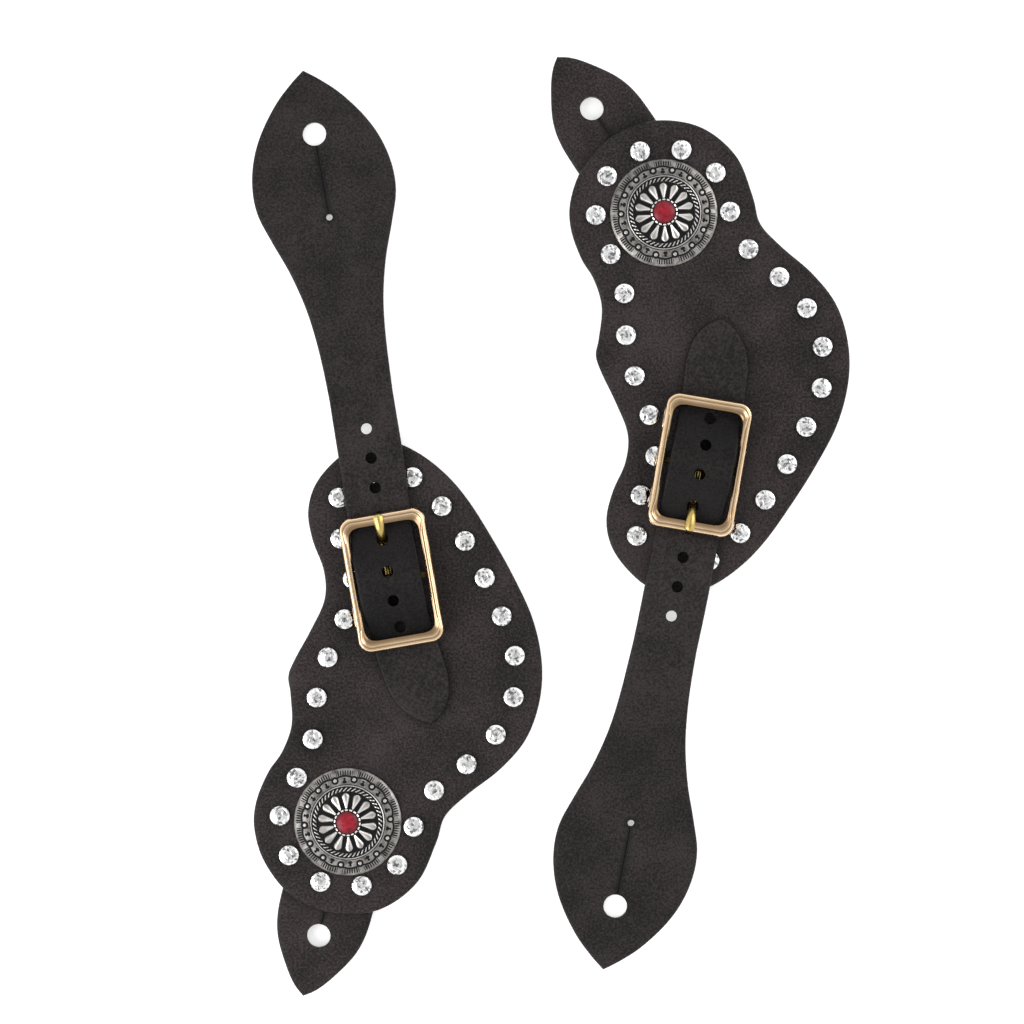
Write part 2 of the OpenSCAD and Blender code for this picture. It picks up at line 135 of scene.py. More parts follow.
def grid_faces(rows, columns, closed_rows=False, closed_columns=True, flip=False):
    """Quads of a rows x columns grid of points."""
    faces = []
    for i in range(rows if closed_rows else rows - 1):
        for j in range(columns if closed_columns else columns - 1):
            a, b = i * columns + j, i * columns + (j + 1) % columns
            c, d = (i + 1) % rows * columns + (j + 1) % columns, (i + 1) % rows * columns + j
            faces.append([a, b, c, d] if not flip else [d, c, b, a])
    return faces


def lathe(profile, segments):
    """Points and faces of a profile of (radius, height) turned about Z. Ends on the axis are closed."""
    profile = [tuple(p) for p in profile]
    turn = np.linspace(0, 2 * math.pi, segments, endpoint=False)
    verts, rings = [], []
    for r, z in profile:
        if r < 1e-6:
            rings.append([len(verts)])
            verts.append((0, 0, z))
        else:
            rings.append(list(range(len(verts), len(verts) + segments)))
            verts += [(r * math.cos(a), r * math.sin(a), z) for a in turn]
    faces = []
    for low, high in zip(rings[:-1], rings[1:]):
        for j in range(segments):
            k = (j + 1) % segments
            if len(low) == 1:
                faces.append([low[0], high[k], high[j]])
            elif len(high) == 1:
                faces.append([low[j], low[k], high[0]])
            else:
                faces.append([low[j], low[k], high[k], high[j]])
    return np.array(verts), faces


def between(a, b, c, d, t):
    """The point at t of the smooth curve from b to c, whose neighbours are a and d."""
    return 0.5 * (2 * b + (c - a) * t + (2 * a - 5 * b + 4 * c - d) * t * t
                  + (3 * b - a - 3 * c + d) * t ** 3)


def smooth_line(points, steps):
    """A smooth open curve through points, with steps between neighbours."""
    p = np.asarray(points, float)
    out = []
    for i in range(len(p) - 1):
        a, b, c, d = p[max(i - 1, 0)], p[i], p[i + 1], p[min(i + 2, len(p) - 1)]
        out += [between(a, b, c, d, k / steps) for k in range(steps)]
    return np.array(out + [p[-1]])


# ---------------------------------------------------------------- reading the CAD frame

def cad_arrays(cad_node):
    """Merged points in millimetres and triangles of a CAD node."""
    mesh = frame["nodes"][cad_node].data
    co = np.zeros(len(mesh.vertices) * 3)
    mesh.vertices.foreach_get("co", co)
    mesh.calc_loop_triangles()
    tri = np.zeros(len(mesh.loop_triangles) * 3, np.int32)
    mesh.loop_triangles.foreach_get("vertices", tri)
    points, where = np.unique(np.round(co.reshape(-1, 3) / MM, 3), axis=0, return_inverse=True)
    tri = where.reshape(-1)[tri].reshape(-1, 3)
    distinct = (tri[:, 0] != tri[:, 1]) & (tri[:, 1] != tri[:, 2]) & (tri[:, 0] != tri[:, 2])
    return points, tri[distinct]


def upper_face(cad_node):
    """Closed outlines of a CAD node's upper face, the largest first, and the face's points.
    The leather is on the left side of each outline."""
    co, tri = cad_arrays(cad_node)
    normal = np.cross(co[tri[:, 1]] - co[tri[:, 0]], co[tri[:, 2]] - co[tri[:, 0]])
    upper = tri[normal[:, 2] > 0.6 * np.linalg.norm(normal, axis=1)]
    edges = {(int(t[i]), int(t[(i + 1) % 3])) for t in upper for i in range(3)}
    following = {a: b for a, b in edges if (b, a) not in edges}
    loops = []
    while following:
        start, now = next(iter(following.items()))
        loop = [start]
        del following[start]
        while now != start and now in following:
            loop.append(now)
            now = following.pop(now)
        loops.append(co[loop])
    return sorted(loops, key=lambda ring: -area(ring)), co[np.unique(upper)]


def area(loop):
    """Negative for a loop round a hole."""
    x, y = loop[:, 0], loop[:, 1]
    return 0.5 * float(np.sum(x * np.roll(y, -1) - y * np.roll(x, -1)))


def refine(loop, spacing):
    """The loop with short, smoothly curved steps. Its corners stay sharp."""
    p = loop[:, :2]
    gap = np.linalg.norm(np.roll(p, -1, axis=0) - p, axis=1)
    p = p[gap > 0.02]
    m = len(p)
    ahead = np.roll(p, -1, axis=0) - p
    turn = np.arctan2(ahead[:, 1], ahead[:, 0])
    bend = np.abs((turn - np.roll(turn, 1) + math.pi) % (2 * math.pi) - math.pi)
    corner = bend > math.radians(28)
    out = []
    for i in range(m):
        b, c = p[i], p[(i + 1) % m]
        a = p[i - 1] if not corner[i] else 2 * b - c
        d = p[(i + 2) % m] if not corner[(i + 1) % m] else 2 * c - b
        steps = max(1, int(round(np.linalg.norm(c - b) / spacing)))
        la, lc, ld = np.linalg.norm(b - a), np.linalg.norm(c - b), np.linalg.norm(d - c)
        even = max(la, lc, ld) < 3 * min(la, lc, ld)
        for k in range(steps):
            t = k / steps
            out.append(between(a, b, c, d, t) if even else b + (c - b) * t)
    return np.array(out)


def inset(loop, amount):
    """The loop moved into the leather, which is on its left."""
    ahead = np.roll(loop, -1, axis=0) - loop
    ahead /= np.linalg.norm(ahead, axis=1)[:, None]
    side = np.stack([-ahead[:, 1], ahead[:, 0]], axis=1)
    both = side + np.roll(side, 1, axis=0)
    both /= np.maximum(np.linalg.norm(both, axis=1), 1e-6)[:, None]
    miter = np.minimum(1 / np.maximum(np.sum(both * side, axis=1), 0.3), 1.8)
    return loop + both * (amount * miter)[:, None]


def inside(points, loops):
    """True for points in the leather that the loops bound."""
    odd = np.zeros(len(points), bool)
    for loop in loops:
        a, b = loop, np.roll(loop, -1, axis=0)
        for (ax, ay), (bx, by) in zip(a, b):
            crosses = (ay > points[:, 1]) != (by > points[:, 1])
            at = ax + (points[:, 1] - ay) * (bx - ax) / (by - ay if by != ay else 1e-12)
            odd ^= crosses & (points[:, 0] < at)
    return odd


def distance(points, loops):
    """Distance from each point to the nearest loop point."""
    every = np.vstack(loops)
    out = np.empty(len(points))
    for i in range(0, len(points), 2000):
        part = points[i:i + 2000]
        out[i:i + 2000] = np.sqrt(((part[:, None, :] - every[None, :, :]) ** 2).sum(2).min(1))
    return out


# ---------------------------------------------------------------- leather sheets

def ripple(xy, seed, wavelength, height):
    """A gentle uneven surface from a few seeded waves."""
    draw = random.Random(seed)
    z = np.zeros(len(xy))
    for _ in range(7):
        angle, phase = draw.uniform(0, math.pi), draw.uniform(0, 2 * math.pi)
        k = 2 * math.pi / (wavelength * draw.uniform(0.7, 1.6))
        z += np.sin(k * (xy[:, 0] * math.cos(angle) + xy[:, 1] * math.sin(angle)) + phase)
    return z * height / 7


def close_cut(loops, key):
    """Brings the two faces of a keyhole's cut together, as a knife leaves them. Returns the cut's end."""
    loop = min(loops, key=lambda ring: np.linalg.norm(ring[:, :2] - key, axis=1).min())
    away = loop[:, :2] - key
    reach = np.linalg.norm(away, axis=1)
    tip = away[reach > reach.max() - CUT_END_R].mean(0)
    along = tip / np.linalg.norm(tip)
    across = np.array([-along[1], along[0]])
    u, v = away @ along, away @ across
    cut = (np.abs(v) < CUT_REACH) & (u > 0) & (u < reach.max() - 2 * CUT_END_R + 0.2)
    loop[cut, :2] -= CUT_CLOSED * np.outer(v[cut], across)
    end = key + along * (reach.max() - CUT_END_R)
    rim = np.linalg.norm(loop[:, :2] - end, axis=1) < CUT_END_R + 0.1
    loop[rim, :2] = end + CUT_HOLE_LEFT * (loop[rim, :2] - end)
    return end


def points_of(obj):
    """The X and Y of a mesh's points, in millimetres."""
    co = np.zeros(len(obj.data.vertices) * 3)
    obj.data.vertices.foreach_get("co", co)
    return co.reshape(-1, 3)[:, :2] / MM


def cut_shade(obj, key, end):
    """Shade that blackens a keyhole's cut and the edge of the small hole that ends it."""
    xy = points_of(obj) - key
    length = np.linalg.norm(end - key)
    along = (end - key) / length
    u, v = xy @ along, np.abs(xy @ np.array([-along[1], along[0]]))
    line = np.clip((0.6 - v) / 0.2, 0, 1) * (u > KEYHOLE_R - 0.3) * (u < length)
    rim = np.clip((CUT_END_R + 0.5 - np.linalg.norm(xy + key - end, axis=1)) / 0.2, 0, 1)
    return np.maximum(line, rim)


def rounded_edge(build, loop, top_of, under_of, r_top, r_low):
    """Adds the edge along a loop. Returns its upper and lower ring, each with its first point's number."""
    rings = []
    angles = np.radians([0, 20, 40, 60, 80, 90])
    for a in angles:
        xy = inset(loop, r_top * (1 - math.sin(a)))
        rings.append(np.column_stack([xy, top_of(xy) - r_top * (1 - math.cos(a))]))
    for a in angles[::-1]:
        xy = inset(loop, r_low * (1 - math.sin(a)))
        rings.append(np.column_stack([xy, under_of(xy) + r_low * (1 - math.cos(a))]))
    n = len(loop)
    faces = grid_faces(len(rings), n, flip=True)
    start = build.count
    build.add(np.vstack(rings), faces)
    build.slots[-len(faces):] = [GRAIN] * (2 * n) + [EDGE] * (len(faces) - 2 * n)
    return (rings[0], start), (rings[-1], start + (len(rings) - 1) * n)


def grid_between(outlines, step, extra):
    """Evenly spread points of the leather that the outlines bound, closer together where extra says so."""
    low, high = outlines[0].min(0), outlines[0].max(0)
    xs = np.arange(low[0], high[0], step)
    ys = np.arange(low[1], high[1], step * 0.866)
    grid = np.array([(x + (0.5 * step if j % 2 else 0), y) for j, y in enumerate(ys) for x in xs])
    if len(extra):
        far = np.sqrt(((grid[:, None, :] - extra[None, ::3, :]) ** 2).sum(2).min(1)) > step * 0.55
        grid = np.vstack([grid[far], extra])
    grid = grid[inside(grid, outlines)]
    return grid[distance(grid, outlines) > 0.55 * step]


def fill_face(build, rings, slot, step, height_of, extra=()):
    """Adds the upper or lower face of the leather, joined to the rings of its edges."""
    outlines = [r[:, :2] for r, _ in rings]
    grid = grid_between(outlines, step, extra)
    points, edges, where = [], [], []
    for ring, start in rings:
        first = len(points)
        points += [Vector(p[:2]) for p in ring]
        where += list(range(start, start + len(ring)))
        edges += [(first + i, first + (i + 1) % len(ring)) for i in range(len(ring))]
    inner = build.count
    points += [Vector(p) for p in grid]
    where += list(range(inner, inner + len(grid)))
    out, _, tris, origin, _, _ = delaunay_2d_cdt(points, edges, [], 0, 1e-5)
    out = np.array([(v.x, v.y) for v in out])
    tris = np.array([t for t in tris if len(t) == 3])
    tris = tris[inside(out[tris].mean(1), outlines)]
    index, added = {}, []
    for i, source in enumerate(origin):
        if source:
            index[i] = where[source[0]]
        else:
            index[i] = inner + len(grid) + len(added)
            added.append(out[i])
    every = np.vstack([grid] + [a[None] for a in added])
    build.add(np.column_stack([every, height_of(every)]), [])
    a, b, c = out[tris[:, 0]], out[tris[:, 1]], out[tris[:, 2]]
    turn = (b[:, 0] - a[:, 0]) * (c[:, 1] - a[:, 1]) - (b[:, 1] - a[:, 1]) * (c[:, 0] - a[:, 0])
    for t, w in zip(tris, turn):
        t = [index[int(i)] for i in t]
        build.faces.append(t if (w > 0) == (slot == GRAIN) else t[::-1])
        build.slots.append(slot)


def leather_sheet(name, loops, top_of, under_of, rounds, spacing, grain, extra=()):
    """A cut leather piece with rounded edges, faced with the material that grain names."""
    build = Builder()
    edges = []
    for loop in loops:
        loop = refine(loop, 0.9)
        r_top, r_low = rounds if area(loop) > 0 else (HOLE_ROUND, HOLE_ROUND * 0.6)
        edges.append(rounded_edge(build, loop, top_of, under_of, r_top, r_low))
    upper, lower = zip(*edges)
    fill_face(build, upper, GRAIN, spacing, top_of, extra)
    fill_face(build, lower, FLESH, spacing * 1.8, under_of)
    return build.object(name, [MATERIAL[grain], MATERIAL["edge"], MATERIAL["flesh"]], sharp=50)


# ---------------------------------------------------------------- materials

def material(name, **inputs):
    """A new material, its node tree and its shader, with the shader's inputs set."""
    m = bpy.data.materials.new(name)
    m.use_nodes = True
    shader = m.node_tree.nodes["Principled BSDF"]
    for key, value in inputs.items():
        shader.inputs[key.replace("_", " ")].default_value = value
    return m, m.node_tree, shader


def node(tree, kind, links=(), **values):
    """A shader node. links are (input, output socket); values set inputs by name or properties."""
    n = tree.nodes.new(kind)
    for key, value in values.items():
        if hasattr(n, key) and not key[0].isupper():
            setattr(n, key, value)
        else:
            n.inputs[key.replace("_", " ")].default_value = value
    for key, socket in links:
        tree.links.new(socket, n.inputs[key])
    return n


def ramp(tree, socket, stops):
    """The colour that stops of (position, colour) give for a value."""
    n = tree.nodes.new("ShaderNodeValToRGB")
    while len(n.color_ramp.elements) < len(stops):
        n.color_ramp.elements.new(0.5)
    for element, (position, colour) in zip(n.color_ramp.elements, stops):
        element.position = position
        element.color = (*colour, 1)
    tree.links.new(socket, n.inputs["Fac"])
    return n.outputs["Color"]


def coordinates(tree):
    """Positions in the object's own metres."""
    return tree.nodes.new("ShaderNodeTexCoord").outputs["Object"]


def blended(tree, factor, first, second):
    """A colour between two colours, by a factor. Each is a socket or a constant."""
    mixed = node(tree, "ShaderNodeMix", [("Factor", factor)], data_type="RGBA")
    sockets = [s for s in mixed.inputs if s.type == "RGBA"]
    for socket, value in zip(sockets, (first, second)):
        if isinstance(value, tuple):
            socket.default_value = (*value, 1)
        else:
            tree.links.new(value, socket)
    return [s for s in mixed.outputs if s.type == "RGBA"][0]


def wire(tree, shader, **sockets):
    """Joins sockets to the shader's inputs of these names."""
    for key, socket in sockets.items():
        tree.links.new(socket, shader.inputs[key.replace("_", " ")])


def noise(tree, at, scale, detail, rough=0.5, twist=0.0):
    """Cloudy values round 0.5 at these positions."""
    return node(tree, "ShaderNodeTexNoise", [("Vector", at)], Scale=scale, Detail=detail, Roughness=rough,
                Distortion=twist).outputs["Fac"]


def painted(tree, label):
    """The values painted on the mesh under a label."""
    return node(tree, "ShaderNodeAttribute", attribute_name=label).outputs["Fac"]


def mapped(tree, socket, low, high, start=0.0, end=1.0):
    """A value that goes from low to high as the socket goes from start to end."""
    return node(tree, "ShaderNodeMapRange", [("Value", socket)], From_Min=start, From_Max=end, To_Min=low,
                To_Max=high).outputs[0]


def bumped(tree, height, strength, distance, links=()):
    """A normal tipped by the slope of a height."""
    return node(tree, "ShaderNodeBump", [("Height", height), *links], Strength=strength,
                Distance=distance).outputs[0]


def leather(name, dark, light, rough, grain=1.0, gloss=0.16):
    """Grained leather, darker where the mesh's shade attribute says so."""
    m, tree, shader = material(name, Specular_IOR_Level=gloss)
    at = coordinates(tree)
    cloud = noise(tree, at, 45.0, 6.0, 0.62)
    speck = noise(tree, at, 1250.0, 2.0, 0.7)
    crease = noise(tree, at, 170.0, 7.0, 0.7, 0.6)
    pore = node(tree, "ShaderNodeTexVoronoi", [("Vector", at)], Scale=1150.0, feature="DISTANCE_TO_EDGE")
    mostly = node(tree, "ShaderNodeMath", [(0, cloud)], operation="MULTIPLY")
    mostly.inputs[1].default_value = 0.6
    mottle = node(tree, "ShaderNodeMath", [(0, mostly.outputs[0]), (1, speck)], operation="ADD")
    middle = tuple(0.55 * d + 0.45 * l for d, l in zip(dark, light))
    colour = ramp(tree, mottle.outputs[0], [(0.66, dark), (0.8, middle), (0.95, light)])
    shaded = node(tree, "ShaderNodeVectorMath", [(0, colour)], operation="SCALE")
    tree.links.new(mapped(tree, painted(tree, "shade"), 1.0, 0.3), shaded.inputs["Scale"])
    fine = bumped(tree, mapped(tree, pore.outputs["Distance"], 0.0, 1.0, 0.0, 0.16), 0.5 * grain, 0.00006)
    wire(tree, shader, Base_Color=shaded.outputs[0],
         Roughness=mapped(tree, crease, rough - 0.07, rough + 0.09, 0.3, 0.7),
         Normal=bumped(tree, crease, 0.6 * grain, 0.0003, [("Normal", fine)]))
    return m


def metal(name, colour, rough, scratch=0.25, tint=None, tarnish_and_shade=None):
    """Plated metal with fine wear, darkened to the tarnish_and_shade colour (tarnish, and painted shade) where the
    mesh's patina_and_shade attribute says so.
    """
    m, tree, shader = material(name, Metallic=1.0)
    at = coordinates(tree)
    fine = noise(tree, at, 900.0, 4.0, 0.7)
    tint = tint or tuple(c * 0.82 for c in colour)
    plate = ramp(tree, noise(tree, at, 140.0, 5.0, 0.6), [(0.35, tint), (0.62, colour)])
    if tarnish_and_shade:
        plate = blended(tree, painted(tree, "patina_and_shade"), plate, tarnish_and_shade)
    wire(tree, shader, Base_Color=plate, Roughness=mapped(tree, fine, rough * 0.75, rough * 1.5, 0.3, 0.75),
         Normal=bumped(tree, fine, scratch, 0.00003))
    return m


def antique_silver():
    """Silver, black where the mesh's patina_and_shade attribute says so (antiquing, and painted shade towards the
    rim) and bright where its polish does.
    """
    m, tree, shader = material("antique_silver", Specular_IOR_Level=0.15)
    patina_and_shade = painted(tree, "patina_and_shade")
    cloud = noise(tree, coordinates(tree), 420.0, 6.0, 0.65)
    dull = ramp(tree, cloud, [
        (0.34, (0.12, 0.112, 0.106)), (0.48, (0.29, 0.272, 0.258)), (0.64, (0.46, 0.44, 0.415))])
    silver = blended(tree, painted(tree, "polish"), dull, (0.86, 0.84, 0.81))
    wire(tree, shader, Base_Color=blended(tree, patina_and_shade, silver, (0.004, 0.004, 0.005)),
         Metallic=mapped(tree, patina_and_shade, 1.0, 0.0), Roughness=mapped(tree, patina_and_shade, 0.27, 0.62),
         Normal=bumped(tree, cloud, 0.2, 0.00004))
    return m


def red_stone():
    """Clouded red glass, with painted shade darkening it round its rim."""
    m, tree, shader = material("red_stone", Roughness=0.35, Specular_IOR_Level=0.25, Coat_Weight=0.12,
                               Coat_Roughness=0.08)
    cloud = noise(tree, coordinates(tree), 420.0, 7.0, 0.66, 0.8)
    red = ramp(tree, cloud, [
        (0.3, (0.09, 0.0015, 0.006)), (0.46, (0.21, 0.003, 0.012)), (0.6, (0.29, 0.006, 0.022)),
        (0.8, (0.4, 0.035, 0.06))])
    wire(tree, shader, Base_Color=blended(tree, painted(tree, "patina_and_shade"), red, (0.03, 0.0006, 0.002)),
         Normal=bumped(tree, cloud, 0.15, 0.0001))
    return m


def crystal():
    """Foil-backed crystal: broken white and grey reflections, painted in cells into the foil's colour, under a
    clear skin.
    """
    m, tree, shader = material("foiled_crystal", Metallic=1.0, Roughness=0.1, Coat_Weight=1.0,
                               Coat_Roughness=0.0)
    at = coordinates(tree)
    cell = node(tree, "ShaderNodeTexVoronoi", [("Vector", at)], Scale=1300.0, Randomness=1.0)
    grey = node(tree, "ShaderNodeSeparateColor", [("Color", cell.outputs["Color"])])
    both = node(tree, "ShaderNodeMath", [(0, grey.outputs[0]), (1, noise(tree, at, 700.0, 3.0))],
                operation="MULTIPLY")
    wire(tree, shader, Base_Color=ramp(tree, both.outputs[0], [
        (0.04, (0.2, 0.2, 0.205)), (0.13, (0.65, 0.65, 0.66)), (0.2, (1, 1, 1))]))
    return m


MATERIAL = {
    "grain": leather("panel_leather", (0.005, 0.004, 0.004), (0.036, 0.028, 0.027), 0.56),
    "edge": leather("burnished_edge", (0.003, 0.0025, 0.0025), (0.012, 0.0095, 0.009), 0.45, grain=0.5),
    "flesh": leather("flesh_side", (0.01, 0.008, 0.007), (0.045, 0.036, 0.032), 0.85, grain=1.8, gloss=0.1),
    "billet": leather("billet_leather", (0.0045, 0.0036, 0.0036), (0.028, 0.0222, 0.0218), 0.54, grain=0.8),
    "chape": leather("chape_leather", (0.004, 0.0035, 0.0035), (0.016, 0.013, 0.012), 0.6),
    "brass": metal("brass_frame", (0.95, 0.71, 0.46), 0.2, tint=(0.84, 0.6, 0.36),
                   tarnish_and_shade=(0.11, 0.058, 0.022)),
    # Painted shade: the bar and lugs are dark brass to stand for the shade they lie in
    "dull": metal("shaded_bar_brass", (0.09, 0.06, 0.025), 0.5, tint=(0.03, 0.02, 0.01)),
    "tongue": metal("brass_tongue", (0.56, 0.41, 0.14), 0.28, tint=(0.42, 0.3, 0.09)),
    "silver": antique_silver(),
    "stone": red_stone(),
    "steel": metal("plated_steel", (0.56, 0.54, 0.51), 0.34, scratch=0.4),
    "cup": metal("silver_cup", (0.5, 0.5, 0.5), 0.2, tint=(0.3, 0.3, 0.3)),
    "crystal": crystal(),
}


# ---------------------------------------------------------------- leather pieces

def crystal_centres(side):
    """Where the crystals are: the lowest point of each CAD crystal."""
    co, _ = cad_arrays(side + "_crystals")
    return co[co[:, 2] < co[:, 2].min() + 0.02][:, :2]


def concho_centre(side):
    """X and Y of the concho's middle, in millimetres."""
    low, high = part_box(side + "_concho")
    return np.array(((low + high) / 2 / MM)[:2])


def rings_round(centre, radii, count):
    """Points on circles, for a closer mesh round something."""
    turn = np.linspace(0, 2 * math.pi, count, endpoint=False)
    return np.vstack([centre + r * np.column_stack([np.cos(turn), np.sin(turn)]) for r in radii])


def press(xy, centres, radius, depth, reach):
    """Leather pressed down round something that is set into it."""
    z = np.zeros(len(xy))
    for c in centres:
        r = np.linalg.norm(xy - c, axis=1)
        z -= depth * np.exp(-np.maximum(r - radius, 0) ** 2 / reach ** 2)
    return z


def panel(side, seed):
    """The body of a strap, pressed down round its crystals and concho."""
    loops, _ = upper_face(side + "_panel")
    # Only the outline and the chape's slot show: cups and the concho cover the round holes
    slots = [loop for loop in loops[1:] if abs(area(loop)) > 60]
    # The real leather closes round the chape
    slots = [np.column_stack([inset(loop[:, :2], -0.26), loop[:, 2]]) for loop in slots]
    cups, concho = crystal_centres(side), concho_centre(side)

    def top_of(xy):
        z = TOP_Z + ripple(xy, seed, 34, 0.1)
        z += press(xy, cups, CUP_R, 0.22, 1.3) + press(xy, [concho], CONCHO_R, 0.12, 2.0)
        return z

    def under_of(xy):
        return PANEL_Z + ripple(xy, seed, 34, 0.05)

    extra = np.vstack([rings_round(c, (3.5, 4.3, 5.2), 20) for c in cups]
                      + [rings_round(concho, (18.6, 19.6, 21), 72)])
    obj = leather_sheet(side + "_panel_leather", [loops[0]] + slots, top_of, under_of, (1.1, 0.8), 1.7,
                        "grain", extra)
    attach(obj, side + "_strap")
    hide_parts(side + "_panel")


def hanger(side, seed):
    """The pointed tab behind the panel."""
    loops, _ = upper_face(side + "_hanger")
    key = np.array(MOUNTS[side + "_hanger_keyhole"]["pos_m"][:2]) / MM
    end = close_cut(loops, key)

    def top_of(xy):
        return HANGER_Z + HANGER_T - HANGER_DROP + ripple(xy, seed, 30, 0.06)

    def under_of(xy):
        return top_of(xy) - HANGER_T

    obj = leather_sheet(side + "_hanger_leather", loops, top_of, under_of, (1.0, 0.7), 1.8, "grain")
    paint(obj, "shade", cut_shade(obj, key, end))
    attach(obj, side + "_hanger")
    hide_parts(side + "_hanger")


def billet(side, seed):
    """The long buckled strip. It rises over the buckle's bar as the CAD piece does."""
    loops, upper = upper_face(side + "_billet")
    hole = np.array(JOINTS[side + "_billet_sway"]["pos_m"][:2]) / MM
    key = np.array(MOUNTS[side + "_billet_keyhole"]["pos_m"][:2]) / MM
    along = (key - hole) / np.linalg.norm(key - hole)
    end = close_cut(loops, key)
    # Height along the billet, read from the CAD piece's upper face and rounded a little
    u, z = (upper[:, :2] - hole) @ along, upper[:, 2]
    order = np.argsort(u)
    steps = np.arange(u.min(), u.max(), 0.5)
    heights = np.interp(steps, u[order], z[order])
    blur = 4
    padded = np.pad(heights, blur, mode="edge")
    heights = np.convolve(padded, np.ones(2 * blur + 1) / (2 * blur + 1), mode="valid")

    def top_of(xy):
        s = (xy - hole) @ along
        flat = np.clip((s - 60) / 30, 0, 1)
        return np.interp(s, steps, heights) + ripple(xy, seed, 40, 0.1) * flat

    def under_of(xy):
        return top_of(xy) - BILLET_T

    obj = leather_sheet(side + "_billet_leather", loops, top_of, under_of, (0.9, 0.6), 1.6, "billet")
    # Inside the buckle the leather is darkened by rubbing and by painted shade from the frame, less on the lit
    # crest over the bar
    bar = np.array(JOINTS[side + "_buckle_rock"]["pos_m"][:2]) / MM
    from_bar = np.abs((points_of(obj) - bar) @ along)
    rubbed_and_shaded = np.clip((22 - from_bar) / 3, 0, 1) * (1 - 0.3 * np.exp(-(from_bar / 5) ** 2))
    paint(obj, "shade", np.maximum(rubbed_and_shaded, cut_shade(obj, key, end)))
    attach(obj, side + "_billet")
    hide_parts(side + "_billet")


# ---------------------------------------------------------------- concho

def step_up(x, edge, width):
    """0 below edge and 1 above it, over width."""
    t = np.clip((x - edge) / width + 0.5, 0, 1)
    return t * t * (3 - 2 * t)


def groove(d, width):
    """1 on a line and 0 beyond its half width, from the distance to it."""
    return 1 - step_up(np.abs(d), width / 2, width * 0.5)


